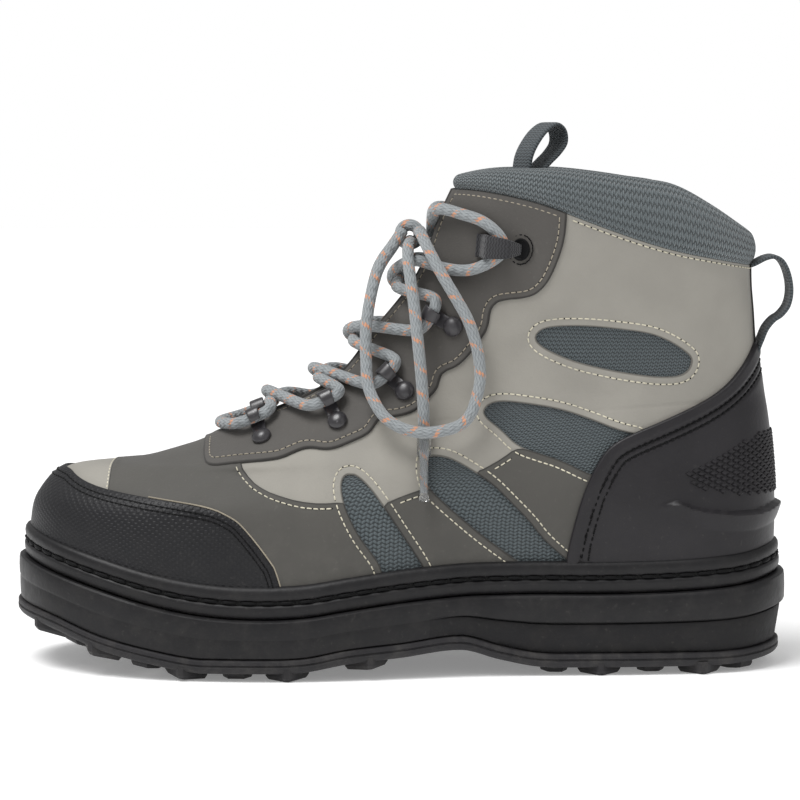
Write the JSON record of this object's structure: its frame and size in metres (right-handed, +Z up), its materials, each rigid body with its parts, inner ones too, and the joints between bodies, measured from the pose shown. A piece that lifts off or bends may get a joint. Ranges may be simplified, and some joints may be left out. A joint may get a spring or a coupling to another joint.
{
  "type": "wading boot",
  "caption": "Ankle-high lace-up wading boot for the left foot with rubber toe guard and heel counter, welted thick sole with cleat-style lugs, padded collar and open lace hooks",
  "frame": {"origin": "centre of the boot's floor rectangle, on the plane of the lowest lug faces", "axes": "+X to the heel, toe towards -X, outer (little-toe) side towards -Y, +Z up"},
  "size_m": [0.3243, 0.1167, 0.2253],
  "materials": {
    "tread_rubber": "matt black moulded rubber",
    "sole_rubber": "matt charcoal moulded rubber",
    "guard_rubber": "charcoal rubber with a fine moulded grain",
    "upper_leather": "beige synthetic nubuck with grey-olive panels and slate mesh inserts",
    "facing_leather": "dark olive synthetic nubuck, tan stitching",
    "slate_knit": "slate knit over foam, wavy ribs",
    "insole_foam": "plain dark foam foot bed",
    "slate_webbing": "slate ribbed webbing",
    "dark_webbing": "black ribbed webbing",
    "hook_metal": "dark painted metal, satin",
    "lace_cord": "round braided lace, grey with orange flecks",
    "aglet_plastic": "clear shrink tube"
  },
  "bodies": {
    "root": {"outsole": "tread_rubber", "midsole": "sole_rubber", "welt": "sole_rubber", "upper": "upper_leather", "insole": "insole_foam", "toe_guard": "guard_rubber", "heel_counter": "guard_rubber", "eyestay": "facing_leather", "collar_pad": "slate_knit", "tongue": "slate_knit", "tongue_loop": "slate_webbing", "heel_loop": "slate_webbing", "lace_hook_outer_1": "hook_metal", "lace_hook_outer_2": "hook_metal", "lace_hook_outer_3": "hook_metal", "lace_hook_outer_4": "hook_metal", "lace_hook_inner_1": "hook_metal", "lace_hook_inner_2": "hook_metal", "lace_hook_inner_3": "hook_metal", "lace_hook_inner_4": "hook_metal", "lace_keeper_outer": "dark_webbing", "lace_keeper_inner": "dark_webbing", "lace_bar": "lace_cord", "lace_crossing_1": "lace_cord", "lace_crossing_2": "lace_cord", "lace_crossing_3": "lace_cord", "lace_crossing_4": "lace_cord", "lace_knot": "lace_cord", "lace_bow_outer": "lace_cord", "lace_bow_inner": "lace_cord", "lace_end_outer": "lace_cord", "lace_end_inner": "lace_cord", "aglet_outer": "aglet_plastic", "aglet_inner": "aglet_plastic"}
  },
  "joints": []
}
